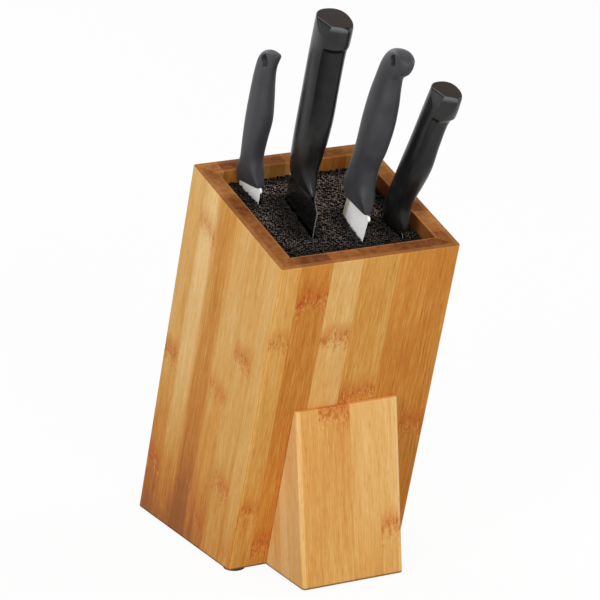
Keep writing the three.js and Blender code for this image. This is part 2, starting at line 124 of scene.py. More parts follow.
class Shader:
    """A material, or the world, whose nodes are written as expressions. Colours are given as 0 to 255."""

    def __init__(self, name, library="materials", end="ShaderNodeOutputMaterial"):
        self.owner = getattr(bpy.data, library).new(name)
        self.owner.use_nodes = True
        self.nodes = self.owner.node_tree.nodes
        self.links = self.owner.node_tree.links
        self.nodes.clear()
        self.output = self.nodes.new(end)
        self.place = self.node("ShaderNodeTexCoord", output="Object")

    def node(self, kind, settings=None, *values, output=0, **named):
        """Adds a node with its settings, and the values or links of its sockets, in order or by name."""
        made = self.nodes.new(kind)
        for key, value in (settings or {}).items():
            if key == "stops":
                ramp = made.color_ramp.elements
                while len(ramp) < len(value):
                    ramp.new(0.5)
                for stop, (place, colour) in zip(ramp, value):
                    stop.position = place
                    stop.color = (*screen_colour(colour), 1)
            else:
                setattr(made, key, value)
        filled = list(zip([socket for socket in made.inputs if socket.enabled], values))
        filled += [(made.inputs[key], value) for key, value in named.items()]
        for socket, value in filled:
            if isinstance(value, Value):
                self.links.new(value.socket, socket)
            elif isinstance(value, tuple) and socket.type == "RGBA":
                socket.default_value = (*screen_colour(value), 1)
            else:
                socket.default_value = value
        outputs = [socket for socket in made.outputs if socket.enabled]
        chosen = outputs[output] if isinstance(output, int) else made.outputs[output]
        return Value(self, chosen)

    def mix(self, share, first, second):
        settings = {"data_type": "RGBA", "blend_type": "MIX", "clamp_factor": True}
        return self.node("ShaderNodeMix", settings, share, first, second)

    def layered(self, colour, *layers):
        """A colour under further ones, each with the share that it covers."""
        for share, shade in layers:
            colour = self.mix(share, colour, shade)
        return colour

    def ramp(self, stops, place):
        return self.node("ShaderNodeValToRGB", {"stops": stops}, place)

    def noise(self, place, scale, detail=2.0, roughness=0.5, distortion=0.0, output=0):
        return self.node(
            "ShaderNodeTexNoise", None, output=output, Vector=place, Scale=scale, Detail=detail,
            Roughness=roughness, Distortion=distortion,
        )

    def stretched(self, place, scale, turn=(0.0, 0.0, 0.0), shift=(0.0, 0.0, 0.0)):
        named = {"Vector": place, "Location": shift, "Rotation": turn, "Scale": scale}
        return self.node("ShaderNodeMapping", None, **named)

    def framed(self, matrix):
        """Object coordinates, carried to another frame."""
        turn, shift = tuple(matrix.to_euler()), tuple(matrix.translation)
        return self.stretched(self.place, (1, 1, 1), turn=turn, shift=shift)

    def vectors(self, operation, *values, **named):
        return self.node("ShaderNodeVectorMath", {"operation": operation}, *values, **named)

    def facing(self, direction):
        """How squarely the surface faces a direction: 1 straight towards it, 0 edge on."""
        normal = self.node("ShaderNodeTexCoord", output="Normal")
        return self.vectors("DOT_PRODUCT", normal, tuple(direction), output="Value")

    def part(self, place, axis):
        return self.node("ShaderNodeSeparateXYZ", None, place, output="XYZ".index(axis))

    def attribute(self, name):
        return self.node("ShaderNodeAttribute", {"attribute_name": name}, output="Fac")

    def bump(self, height, strength, distance):
        return self.node("ShaderNodeBump", None, Strength=strength, Distance=distance, Height=height)

    def finish(self, surface):
        self.links.new(surface.socket, self.output.inputs["Surface"])
        return self.owner

    def surface(self, **named):
        named = {key.replace("_", " "): value for key, value in named.items()}
        return self.finish(self.node("ShaderNodeBsdfPrincipled", None, **named))


def seen_straight(shader):
    """1 for a ray from the camera, off a mirror or through glass, and 0 for one that carries light."""
    camera_ray, glossy_ray, clear_ray = (
        shader.node("ShaderNodeLightPath", output=f"Is {kind} Ray")
        for kind in ("Camera", "Glossy", "Transmission")
    )
    return camera_ray.most(glossy_ray).most(clear_ray)


room_light = 0.3
room = Shader("white_room", "worlds", "ShaderNodeOutputWorld")
room_strength = seen_straight(room) * (1 - room_light) + room_light
room_white = room.node("ShaderNodeBackground", None, (255, 255, 255), room_strength)
bpy.context.scene.world = room.finish(room_white)

glow_share = 0.93
bpy.ops.object.select_all(action="DESELECT")
bpy.ops.mesh.primitive_plane_add(size=12, location=(0, 0, 0))
table = bpy.context.object
table.name = "white_table"
table_white = Shader("table_white")
straight = seen_straight(table_white)
shade = table_white.mix(straight, (176, 176, 176), (249, 249, 249))
paint = table_white.node("ShaderNodeBsdfDiffuse", None, shade)
glow = table_white.node("ShaderNodeEmission", None, (255, 255, 255), 1.0)
glowing = table_white.node("ShaderNodeMixShader", None, straight * glow_share, paint, glow)
table.data.materials.append(table_white.finish(glowing))

# ----------------------------------------
# Tube: four panels of laminated bamboo, mitred and glued into a square, and sawn off slanting at the foot
# so that it leans forward. Each is glued up from upright staves, some pale and some caramel, which the
# bamboo's joints cross as ragged brown bands. Corners and rim are softened, and a satin lacquer covers it.
# ----------------------------------------

lean = math.radians(17)
tube_side = 125 * mm
tube_height = 246 * mm
wall = 12 * mm
glue_line = 0.15 * mm
tube_arris = 2 * mm
broken_edge = 0.6 * mm
origin_reach = 41 * mm
foot_height = 2 * mm
# What is this near to a plane counts as on it
hair = 0.01 * mm
tube_place = Matrix.Translation((0, origin_reach, foot_height)) @ Matrix.Rotation(lean, 4, "X")

# Staves of each panel, from left to right as seen from outside: width in mm, how dark they are at the
# rim and at the foot from 0 to 1, where darker feet, most of all on the left panel, are painted shade,
# heights of two joints in mm, and how strongly these show
no_joint = -200
staves = {
    "front_panel": [
        (14, 0.38, 0.54, 192, 66, 0.75), (22, 0.7, 0.56, 224, 38, 1.0),
        (21, 0.24, 0.32, 191, 20, 0.9), (26, 0.46, 0.48, 146, no_joint, 0.9),
        (23, 0.66, 0.72, no_joint, 52, 0.4), (19, 0.66, 0.64, 117, no_joint, 0.9),
    ],
    "right_panel": [
        (18, 0.5, 0.7, 170, 40, 0.7), (24, 0.15, 0.4, 205, 92, 0.8),
        (20, 0.62, 0.8, 131, no_joint, 0.9), (22, 0.3, 0.5, 58, 214, 0.7),
        (23, 0.1, 0.36, 158, no_joint, 0.8), (18, 0.58, 0.75, 85, 228, 0.8),
    ],
    "back_panel": [
        (21, 0.2, 0.45, 96, 221, 0.7), (19, 0.55, 0.78, 182, 50, 0.9),
        (25, 0.12, 0.4, 140, no_joint, 0.8), (20, 0.42, 0.62, 204, 74, 0.8),
        (24, 0.68, 0.85, 118, no_joint, 0.9), (16, 0.18, 0.4, 33, 165, 0.7),
    ],
    "left_panel": [
        (19, 0.24, 1.04, 112, 28, 1.0), (22, 0.04, 0.96, 221, no_joint, 0.6),
        (23, 0.58, 1.3, no_joint, no_joint, 0.0), (23, 0.28, 1.1, 126, 27, 0.5),
        (22, 0.3, 0.62, 166, 68, 0.8), (16, 0.26, 0.6, no_joint, 30, 0.3),
    ],
}
# Quarter turns of each panel about the tube's axis, how far its staves blend where they meet, and how
# much painted shade its inner side has
panels = {
    "front_panel": (0, 0.15, 1),
    "right_panel": (1, 0.15, 1),
    "back_panel": (2, 0.15, 0.42),
    "left_panel": (-1, 0.75, 1),
}


def start(kind, **placing):
    """Adds a primitive with nothing else selected, and opens it for editing."""
    bpy.ops.object.select_all(action="DESELECT")
    getattr(bpy.ops.mesh, f"primitive_{kind}_add")(**placing)
    bpy.ops.object.transform_apply(location=True, rotation=True, scale=True)
    bpy.ops.object.mode_set(mode="EDIT")
    return bpy.context.object


def choose(kind, test):
    """Selects the vertices or edges of the open mesh that pass the test, and nothing else."""
    bpy.ops.mesh.select_mode(type=kind)
    bpy.ops.mesh.select_all(action="DESELECT")
    shape = bmesh.from_edit_mesh(bpy.context.object.data)
    for element in {"VERT": shape.verts, "EDGE": shape.edges}[kind]:
        if test(element):
            element.select_set(True)
    bmesh.update_edit_mesh(bpy.context.object.data)


def middle(edge):
    return (edge.verts[0].co + edge.verts[1].co) / 2


def run(edge):
    return (edge.verts[1].co - edge.verts[0].co).normalized()


def round_off(test, offset, segments):
    """Bevels the edges of the open mesh that pass the test."""
    choose("EDGE", test)
    bpy.ops.mesh.bevel(offset=offset, segments=segments, affect="EDGES")


def saw(point, normal, keep=False):
    """Cuts the open mesh by a plane, and takes away what lies on the normal's side unless it is kept."""
    bpy.ops.mesh.select_mode(type="VERT")
    bpy.ops.mesh.select_all(action="SELECT")
    bpy.ops.mesh.bisect(plane_co=point, plane_no=normal, use_fill=not keep, clear_outer=not keep)


def settle(piece, place):
    """Closes the mesh and moves it by a matrix."""
    bpy.ops.object.mode_set(mode="OBJECT")
    piece.data.transform(place)
    piece.data.update()


def pick(piece):
    """Selects one piece and makes it the active one."""
    bpy.ops.object.select_all(action="DESELECT")
    piece.select_set(True)
    bpy.context.view_layer.objects.active = piece


def combine(piece, other, operation):
    """Takes another shape out of a piece or joins it on, and removes the other."""
    pick(piece)
    boolean = piece.modifiers.new("combine", "BOOLEAN")
    boolean.object = other
    boolean.operation = operation
    boolean.solver = "EXACT"
    bpy.ops.object.modifier_apply(modifier=boolean.name)
    bpy.data.objects.remove(other)


def deliver(piece, name, body, slot, material, *nodes):
    """Names a finished piece, gives it its material, and puts it on its body in place of CAD nodes."""
    piece.name = piece.data.name = name
    piece.data.materials.clear()
    piece.data.materials.append(material)
    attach(piece, body)
    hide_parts(*nodes)


def note(piece, domain, name, values):
    """Writes a number on each face, vertex or corner of a mesh, for its material to read."""
    piece.data.attributes.new(name, "FLOAT", domain).data.foreach_set("value", values)


def seams_of(width, widths):
    """Where the staves of a board of that width meet, from its left edge to its right."""
    seams = [-width / 2]
    for stave_width, *_ in widths:
        seams.append(seams[-1] + stave_width * mm)
    return seams


def lay_staves(piece, upright, stave_at):
    """Writes on each face which stave it is of. Upright turns a point to the staves' own frame, where X
    crosses them, and stave_at gives the two seams and the facts of the stave at a point there."""
    facts = []
    across = [0.0] * len(piece.data.loops)
    for face in piece.data.polygons:
        low, high, *fact = stave_at(upright @ face.center)
        facts.append(fact)
        for corner in face.loop_indices:
            x = (upright @ piece.data.vertices[piece.data.loops[corner].vertex_index].co).x
            across[corner] = (2 * x - low - high) / (high - low)
    names = (
        "stave_high", "stave_low", "joint_high", "joint_low", "joint_show", "stave_seed", "blended",
        "inside",
    )
    for name, values in zip(names, zip(*facts)):
        note(piece, "FACE", name, values)
    note(piece, "CORNER", "across", across)


def bamboo(name, upright, height, figure, end_share):
    """Lacquered bamboo. Its fibres run along Z of the upright frame, over that height. Figure is the
    strength of its broad bands, and end_share is how much of the end grain's own colour its ends have."""
    wood = Shader(name)
    grain = wood.framed(upright)
    seed = wood.attribute("stave_seed")
    moved = wood.node("ShaderNodeCombineXYZ", None, seed * 0.37, seed * 0.53, seed * 1.9)
    own = wood.vectors("ADD", grain, moved)
    rise = wood.part(grain, "Z")
    across = wood.attribute("across")

    def drawn_out(place, crosswise, lengthwise, turn=(0.0, 0.0, 0.0), **kind):
        """Noise that is drawn out along the fibres."""
        return wood.noise(wood.stretched(place, (crosswise, crosswise, lengthwise), turn=turn), 1.0, **kind)

    # Joints: the nearer of the stave's two, bowed and ragged
    high, low = wood.attribute("joint_high"), wood.attribute("joint_low")
    nearer = (rise - low).abs() < (rise - high).abs()
    joint = high + (low - high) * nearer
    ragged = drawn_out(own, 150, 14) - 0.5
    off = rise - joint + ragged * 0.02 + across * across * 0.003
    show = wood.attribute("joint_show")
    halo = (1 - (off - 0.002).abs().smooth(0.0, 0.012)) * show
    band = (1 - off.abs().smooth(0.0008, 0.0058)) * show
    curl = (1 - (off + 0.005).abs().smooth(0.001, 0.011)) * show
    ticks = drawn_out(own, 820, 250, turn=(0.3, 0.0, 0.3), roughness=0.6, distortion=0.5).smooth(0.5, 0.64)
    curls = drawn_out(own, 620, 300, detail=1.0, distortion=0.9)

    # Fibres: long soft bands, fine streaks and short dark dashes, which waver at a joint
    waver = wood.vectors("SCALE", drawn_out(own, 300, 90, output="Color"), Scale=halo * 0.0014)
    fibres = wood.vectors("ADD", own, waver)
    bands = drawn_out(fibres, 190, 6) - 0.5
    clouds = drawn_out(fibres, 60, 16) - 0.5
    streaks = drawn_out(fibres, 800, 28, detail=3.0, roughness=0.65) - 0.5
    threads = drawn_out(fibres, 1800, 110, roughness=0.6) - 0.5
    dashes = drawn_out(fibres, 2300, 120, detail=1.0).smooth(0.62, 0.76)

    # Tone: each stave darkens towards its foot, painted shade that is strongest on the left panel, and its
    # sides may blend into its neighbours. The tube's inner sides get painted shade too
    foot_tone = wood.attribute("stave_low")
    fall = (1 - rise / height).power(3.2)
    stave = foot_tone + (wood.attribute("stave_high") - foot_tone) * (1 - fall)
    beside = across.abs().smooth(0.55, 1.0) * wood.attribute("blended")
    inside = wood.attribute("inside")
    # The inner sides' painted shade also darkens the tone
    stave = stave + (fall * 0.6 + 0.34 - stave) * beside + inside * 0.4
    tone = stave + (bands * 0.26 + clouds * 0.32) * figure + halo * 0.08
    tone = tone + (streaks * 0.66 + threads * 0.6) * (stave * 0.7 + 0.72)
    colour = wood.ramp((
        (0.0, (236, 198, 136)), (0.16, (222, 176, 108)), (0.34, (211, 157, 80)),
        (0.52, (200, 133, 55)), (0.7, (187, 113, 42)), (1.0, (146, 80, 30)),
    ), tone * 0.86)
    warm = drawn_out(own, 75, 9)
    seam = across.abs().smooth(0.965, 0.995)

    # End grain: darker, with the fibres' ends as fine dots, and painted highlights as pale bands along the
    # rim's outer and inner edges
    end = wood.facing(upright.inverted().to_3x3() @ Vector((0, 0, 1))).abs().smooth(0.45, 0.85)
    fibre_ends = wood.stretched(own, (1300, 1300, 60))
    dots = wood.node("ShaderNodeTexVoronoi", None, output="Distance", Vector=fibre_ends, Scale=1.0)
    mottle = drawn_out(own, 240, 40, detail=3.0) - 0.5
    reach = wood.part(grain, "X").abs().most(wood.part(grain, "Y").abs())
    outer = reach.smooth(tube_side / 2 - 4.2 * mm, tube_side / 2 - 2.6 * mm)
    inner = reach.smooth(tube_side / 2 - wall + 1.5 * mm, tube_side / 2 - wall + 0.9 * mm)
    end_stops = ((0.0, (184, 128, 72)), (0.45, (152, 93, 46)), (1.0, (108, 58, 28)))
    end_colour = wood.ramp(end_stops, stave * 1.05 + mottle * 1.1 + 0.2)
    end_colour = wood.layered(
        end_colour,
        ((1 - dots.smooth(0.12, 0.34)) * 0.45, (84, 42, 20)),
        # Painted highlights along the rim's outer and inner edges
        (outer * 0.25, (206, 146, 86)),
        (inner * 0.36, (214, 142, 82)),
    )

    # What lies over the tone, with painted shade on the tube's inner sides and along the edge of the sawn
    # foot
    painted_foot_shade = wood.part(wood.place, "Z").smooth(foot_height + 1.7 * mm, foot_height + 0.8 * mm)
    colour = wood.layered(
        colour,
        (warm.smooth(0.5, 0.72) * 0.33 * figure, (226, 152, 66)),
        ((1 - figure) * 0.4, (216, 170, 116)),
        (dashes * 0.45, (160, 86, 34)),
        (halo * (ragged * 1.2 + 0.42), (198, 104, 44)),
        (curl * curls.smooth(0.52, 0.62) * 0.6, (178, 88, 38)),
        (curl * (1 - curls.smooth(0.36, 0.45)) * 0.3, (232, 176, 104)),
        (band * ticks * 0.7, (156, 68, 26)),
        # Painted shade on the tube's inner sides
        (inside * 0.86, (98, 50, 28)),
        (seam * 0.14, (160, 92, 38)),
        (end * end_share, end_colour),
        # Painted shade along the edge of the sawn foot
        (painted_foot_shade * 0.7, (72, 40, 20)),
    )
    relief = streaks * 0.7 - dashes * 0.5 - band * ticks * 0.6 - seam * 0.5
    return wood.surface(
        Base_Color=colour,
        Roughness=streaks * 0.2 + end * 0.16 + 0.42,
        Specular_IOR_Level=0.03,
        Coat_Weight=0.03,
        Coat_Roughness=0.25,
        Normal=wood.bump(relief, 0.22, 0.0001),
    )


tube_bamboo = bamboo("tube_bamboo", tube_place.inverted(), tube_height, 0.9, 1.0)

floor_low, floor_high = 26 * mm, 34 * mm
groove_depth = 4 * mm
screw_heights = (44 * mm, 84 * mm)
screw_seat = -tube_side / 2 + wall - 0.5 * mm
# A screw's hole, from its mouth inwards: distance from its seat, then the radius there
screw_hole = ((0.65, 4.15), (0, 4.15), (-2.4, 2.15), (-27, 2.15), (-32.15, 0.15))


def bore(piece, place):
    """Drills both screw holes through a piece. Place carries the tube's own frame to the piece's."""
    for height in screw_heights:
        for (near, wide), (far, narrow) in zip(screw_hole, screw_hole[1:]):
            cutter = start(
                "cone", vertices=24, radius1=wide * mm, radius2=narrow * mm, depth=(near - far) * mm,
                location=(0, screw_seat + (near + far) / 2 * mm, height), rotation=(math.pi / 2, 0, 0),
            )
            settle(cutter, place)
            combine(piece, cutter, "DIFFERENCE")


def panel(name, turn, blend, inner_shade):
    """A panel, made with its face to the front and then turned about the tube's axis to its side."""
    half = tube_side / 2 - glue_line / math.sqrt(2)
    outside = -tube_side / 2
    spare = 60 * mm
    piece = start(
        "cube", size=1, location=(0, outside / 2, (tube_height - spare) / 2),
        scale=(2 * half, tube_side / 2, tube_height + spare),
    )
    round_off(lambda edge: abs(run(edge).z) > 0.9 and middle(edge).y < outside / 2, tube_arris, 8)
    saw((half, outside, 0), (1, 1, 0))
    saw((-half, outside, 0), (-1, 1, 0))
    saw((0, outside + wall, 0), (0, 1, 0))
    settle(piece, Matrix.Rotation(turn, 4, "Z"))
    groove = start(
        "cube", size=1, location=(0, 0, (floor_low + floor_high) / 2),
        scale=(*[tube_side - 2 * wall + 2 * groove_depth] * 2, floor_high - floor_low + 2 * glue_line),
    )
    settle(groove, Matrix.Identity(4))
    combine(piece, groove, "DIFFERENCE")
    bpy.ops.object.mode_set(mode="EDIT")
    downward = Vector((0, -math.sin(lean), -math.cos(lean)))
    saw((0, 0, 0), downward)

    def at_end(edge):
        # an edge round the rim or the foot, but not along a mitre
        rim = all(vert.co.z > tube_height - hair for vert in edge.verts)
        foot = all(abs(vert.co.dot(downward)) < hair for vert in edge.verts)
        mitred = abs(abs(run(edge).x) - abs(run(edge).y)) < 0.05 and edge.calc_length() > wall
        return (rim or foot) and not mitred

    round_off(at_end, broken_edge, 2)
    seams = seams_of(tube_side, staves[name])
    across = Matrix.Rotation(turn, 3, "Z") @ Vector((1, 0, 0))
    for seam in seams[1:-1]:
        saw(across * seam, across, keep=True)
    settle(piece, tube_place)
    if name == "front_panel":
        bore(piece, tube_place)

    def stave_at(point):
        number = sum(point.x > seam for seam in seams[1:-1])
        _, high, low, joint_high, joint_low, show = staves[name][number]
        # Faces on the tube's inner side carry its painted shade
        inner = point.y > outside + wall * 0.75
        facts = (high, low, joint_high * mm, joint_low * mm, 0 if inner else show, number + 7 * turn)
        return seams[number], seams[number + 1], *facts, blend, inner * inner_shade

    lay_staves(piece, (tube_place @ Matrix.Rotation(turn, 4, "Z")).inverted(), stave_at)
    deliver(piece, "bamboo_" + name, "block", "bamboo", tube_bamboo, name)


for panel_name, (quarters, blend, inner_shade) in panels.items():
    panel(panel_name, quarters * math.pi / 2, blend, inner_shade)

# ----------------------------------------
# Floor board: one thin bamboo board let into the groove round the inside of the tube. The tray of
# bristles stands on it. It is the CAD's own solid.
# ----------------------------------------


def finish_node(node, material):
    """Gives a CAD solid that is shown as it is its material."""
    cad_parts[node].data.materials.clear()
    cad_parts[node].data.materials.append(material)


finish_node("floor_board", tube_bamboo)

# ----------------------------------------
# Wedge: a block glued up from layers of pale bamboo and sawn to a taper. Its back lies against the
# tube, its long front corners are well rounded, and two screws from inside the tube hold it.
# ----------------------------------------

wedge_width = 72 * mm
wedge_height = 114 * mm
wedge_top = 4 * mm
wedge_reach = 51 * mm
wedge_corner = 2.6 * mm
wedge_edge = 0.7 * mm
layer = 9.5 * mm
# How much paler the staves are on the wedge's rounded front corners: a painted highlight
corner_highlight = 0.3
wedge_blend = 0.1
first_seed = 11
wedge_place = Matrix.Translation((0, origin_reach, foot_height))
# Staves of the front layer, as for a panel, and how dark the layers are from the front to the back
wedge_staves = (
    (15, 0.44, 0.46, no_joint, no_joint, 0.0), (22, 0.5, 0.42, 101, no_joint, 1.0),
    (20, 0.24, 0.42, no_joint, no_joint, 0.0), (15, 0.24, 0.36, 21, no_joint, 0.85),
)
layer_tones = (0.1, 0.12, -0.04, 0.18, 0.02, 0.18)

tube_front = -tube_side / 2 / math.cos(lean)
wedge_back = tube_front - glue_line / math.cos(lean)
wedge_front = tube_front - wedge_reach
half_way = (wedge_back + wedge_front) / 2
top_back = wedge_back - wedge_height * math.tan(lean)
wedge = start(
    "cube", size=1, location=(0, half_way, wedge_height / 2),
    scale=(wedge_width, wedge_back - wedge_front, wedge_height),
)
choose("VERT", lambda vert: vert.co.z > wedge_height / 2 and vert.co.y > half_way)
bpy.ops.transform.translate(value=(0, top_back - wedge_back, 0))
choose("VERT", lambda vert: vert.co.z > wedge_height / 2 and vert.co.y < wedge_front + hair)
bpy.ops.transform.translate(value=(0, top_back - wedge_top - wedge_front, 0))
front_slope = Vector((0, top_back - wedge_top - wedge_front, wedge_height)).normalized()
front_normal = Vector((0, -front_slope.z, front_slope.y))
round_off(lambda edge: abs(run(edge).dot(front_slope)) > 0.999, wedge_corner, 6)
round_off(lambda edge: edge.calc_face_angle(0) > 0.7, wedge_edge, 3)
wedge_seams = seams_of(wedge_width, wedge_staves)
for seam in wedge_seams[1:-1]:
    saw((seam, 0, 0), (1, 0, 0), keep=True)
for number in range(1, len(layer_tones)):
    saw(Vector((0, wedge_front, 0)) - front_normal * layer * number, front_normal, keep=True)
settle(wedge, wedge_place)
bore(wedge, tube_place)


def wedge_stave_at(point):
    number = sum(point.x > seam for seam in wedge_seams[1:-1])
    depth = int(max(0, (Vector((0, wedge_front, 0)) - point).dot(front_normal)) / layer)
    _, high, low, joint_high, joint_low, show = wedge_staves[number]
    # Painted highlight: the rounded front corners are paler
    if abs(point.x) > wedge_width / 2 - wedge_corner:
        high, low = high - corner_highlight, low - corner_highlight
    if depth:
        high = low = layer_tones[depth % len(layer_tones)]
        joint_high = joint_low = no_joint
    facts = (high, low, joint_high * mm, joint_low * mm, show, first_seed + number + 4 * depth)
    return *wedge_seams[number:number + 2], *facts, wedge_blend, 0


lay_staves(wedge, wedge_place.inverted(), wedge_stave_at)
wedge_lean = Matrix.Rotation(-math.atan2(front_slope.y, front_slope.z), 4, "X")
wedge_bamboo = bamboo("wedge_bamboo", (wedge_place @ wedge_lean).inverted(), wedge_height, 0.5, 0.12)
deliver(wedge, "bamboo_wedge", "block", "pale_bamboo", wedge_bamboo, "support_wedge")

# ----------------------------------------
# Screws: two countersunk cross-head screws of zinc-plated steel, driven from inside the tube through
# its front panel into the wedge.
# ----------------------------------------

zinc = Shader("zinc_plated_steel")
zinc_haze = zinc.noise(zinc.place, 900.0, detail=3.0)
zinc_steel = zinc.surface(
    Base_Color=zinc.mix(zinc_haze.smooth(0.3, 0.7), (186, 188, 186), (206, 204, 194)),
    Metallic=1.0,
    Roughness=zinc_haze * 0.2 + 0.22,
)
for number in (1, 2):
    finish_node(f"wedge_screw_{number}", zinc_steel)

# ----------------------------------------
# Feet: six round self-adhesive pads of black rubber, four under the tube and two under the wedge. They
# are the CAD's own solids.
# ----------------------------------------

rubber = Shader("foot_rubber")
pores = rubber.noise(rubber.place, 2600.0)
scuffs = rubber.noise(rubber.place, 260.0, detail=3.0)
foot_rubber = rubber.surface(
    Base_Color=rubber.mix(scuffs.smooth(0.45, 0.75), (30, 29, 29), (52, 50, 49)),
    Roughness=scuffs * 0.2 + 0.7,
    Normal=rubber.bump(pores, 0.3, 0.0001),
)
for place in ("front", "back", "wedge"):
    for side in ("left", "right"):
        finish_node(f"foot_{place}_{side}", foot_rubber)

# ----------------------------------------
# Tray: a thin-walled box moulded in black plastic with a fine matt texture. It holds the roots of the
# bristles and lifts out with them.
# ----------------------------------------

moulded = Shader("tray_plastic")
spark = moulded.noise(moulded.place, 2200.0)
finish_node("bristle_tray", moulded.surface(
    Base_Color=moulded.mix(spark.smooth(0.4, 0.7), (25, 25, 28), (36, 36, 39)),
    Roughness=spark * 0.15 + 0.46,
    Normal=moulded.bump(spark, 0.35, 0.00008),
))

# ----------------------------------------
# Bristles: thousands of straight nylon rods, black-brown, standing close together in the tray with
# their cut ends up. They spread a little above the tray, no two are quite the same length, and they
# stand aside for the blades.
# ----------------------------------------

rod_radius = 0.62 * mm
rod_pitch = 1.5 * mm
row_pitch = rod_pitch * math.sqrt(3) / 2
rod_foot = 37.3 * mm
rod_top = 238.4 * mm
rod_shortest = 1.5 * mm
rod_round = 0.22 * mm
rod_gap = 0.08 * mm
root_reach = 47.2 * mm
tip_reach = 49.1 * mm
# How far a rod may stand from its place in the rows, and how far its tip strays, in mm
off_place = 0.16
tip_stray = 0.14
# A rod stands aside up to this far from a blade's middle, and a little past its spine and its edge
stand_aside = 5 * mm
past_blade = 2 * mm
# Rods get painted shade near the walls and the blades: how far the painted shade reaches, how fast it
# fades off the left, right, back and front walls, and the tone of the darkest
shade_reach = 10 * mm
wall_fades = (1, 0.6, 1, 0.22)
darkest = 0.05

# Each knife's own frame: its origin is where the middle of its blade enters the bristles, Z runs up the
# knife, its edge faces -Y and X is across its blade. Entry is in the tube's frame, in mm.
bristle_top = 238.5 * mm


def knife_place(x, y, turn, lean_forward, lean_right):
    place = Matrix.Translation((x * mm, y * mm, bristle_top))
    for angle, axis in ((lean_right, "Y"), (lean_forward, "X"), (turn, "Z")):
        place = place @ Matrix.Rotation(math.radians(angle), 4, axis)
    return place


knife_places = (
    knife_place(-34.5, 36, 2.8, -1, 0),
    knife_place(-16, 2.5, -5, 1, 0),
    knife_place(12.5, -15.7, -5.6, 4, 2),
    knife_place(37, -24, 3, 7, 4.5),
)
# Half of each blade's thickness, how far it reaches to its spine and to its edge, in mm, and how fast the
# painted shade at its left side fades
blade_halves = (
    (0.9, 12, 12, 0.55), (1.2, 21.5, 22.5, 0.32), (1.0, 15.6, 16, 0.55), (1.0, 11, 11, 0.32)
)

rod = start("cylinder", vertices=6, radius=rod_radius, depth=rod_top - rod_foot)
round_off(lambda edge: middle(edge).z > 0 and abs(run(edge).z) < 0.1, rod_round, 1)
settle(rod, Matrix.Translation((0, 0, (rod_foot + rod_top) / 2)))
rod_points = [vert.co.copy() for vert in rod.data.vertices]
rod_faces = [tuple(face.vertices) for face in rod.data.polygons]
bpy.data.objects.remove(rod)

bristle_random = random.Random(7)
banks = [{"points": [], "faces": [], "tone": [], "tip": []} for _ in range(len(knife_places) + 1)]
rows = int(2 * tip_reach / row_pitch) + 1
columns = int(2 * tip_reach / rod_pitch) + 1


def held(value, low, high):
    return min(max(value, low), high)


def ease(value):
    value = held(value, 0, 1)
    return value * value * (3 - 2 * value)


def aside(point, place, blade):
    """Moves a rod's end off a blade: the nearer it stands, the further it is pushed."""
    half, back, front = (size * mm for size in blade[:3])
    local = place.inverted() @ point
    beyond = not -front - past_blade < local.y < back + past_blade
    if beyond or abs(local.x) >= stand_aside:
        return point
    clear = half + rod_radius + rod_gap
    local.x = math.copysign(clear + abs(local.x) * (stand_aside - clear) / stand_aside, local.x)
    return place @ local


for row in range(rows):
    for column in range(columns):
        spot_x = -tip_reach + (column + row % 2 / 2) * rod_pitch
        spot_x += bristle_random.uniform(-off_place, off_place) * mm
        spot_y = -tip_reach + row * row_pitch + bristle_random.uniform(-off_place, off_place) * mm
        short = bristle_random.random() ** 2 * rod_shortest
        tone = bristle_random.random()
        stray_x, stray_y = (bristle_random.gauss(0, tip_stray) * mm for _ in range(2))
        if max(abs(spot_x), abs(spot_y)) > tip_reach:
            continue
        shrink = root_reach / tip_reach
        root = Vector((spot_x * shrink, spot_y * shrink, rod_foot))
        tip = Vector((spot_x + stray_x, spot_y + stray_y, rod_top - short))
        off_walls = (tip_reach + spot_x, tip_reach - spot_x, tip_reach - spot_y, tip_reach + spot_y)
        shade = min(off_wall * fade for off_wall, fade in zip(off_walls, wall_fades))
        for place, blade in zip(knife_places, blade_halves):
            tip = aside(tip, place, blade)
            root = aside(root, place, blade)
            half, back, front = (size * mm for size in blade[:3])
            local = place.inverted() @ tip
            beyond = max(local.y - back, -front - local.y, 0)
            beside = (abs(local.x) - half) * (blade[3] if local.x < 0 else 1)
            shade = min(shade, math.hypot(beside, beyond))
        # Painted shade: the tone darkens near the walls and the blades
        tone *= darkest + (1 - darkest) * ease(shade / shade_reach) ** 1.3
        tip = Vector((*(held(size, -tip_reach, tip_reach) for size in tip.xy), rod_top - short))
        root = Vector((*(held(size, -root_reach, root_reach) for size in root.xy), rod_foot))
        bank = banks[sum((place.inverted() @ tip).x > 0 for place in knife_places)]
        spin = Matrix.Rotation(bristle_random.uniform(0, math.pi / 3), 3, "Z")
        first = len(bank["points"])
        for point in rod_points:
            share = (point.z - rod_foot) / (rod_top - rod_foot)
            turned = spin @ Vector((point.x, point.y, 0))
            bank["points"].append(tube_place @ (root.lerp(tip, share) + turned))
        for face in rod_faces:
            lowest = min(rod_points[corner].z for corner in face)
            bank["faces"].append([first + corner for corner in face])
            bank["tone"].append(tone)
            bank["tip"].append(float(lowest > rod_top - rod_round * 1.5))

nylon = Shader("bristle_nylon")
rod_tone = nylon.attribute("rod_tone")
rod_tip = nylon.attribute("rod_tip")
patch = nylon.noise(nylon.place, 60.0)
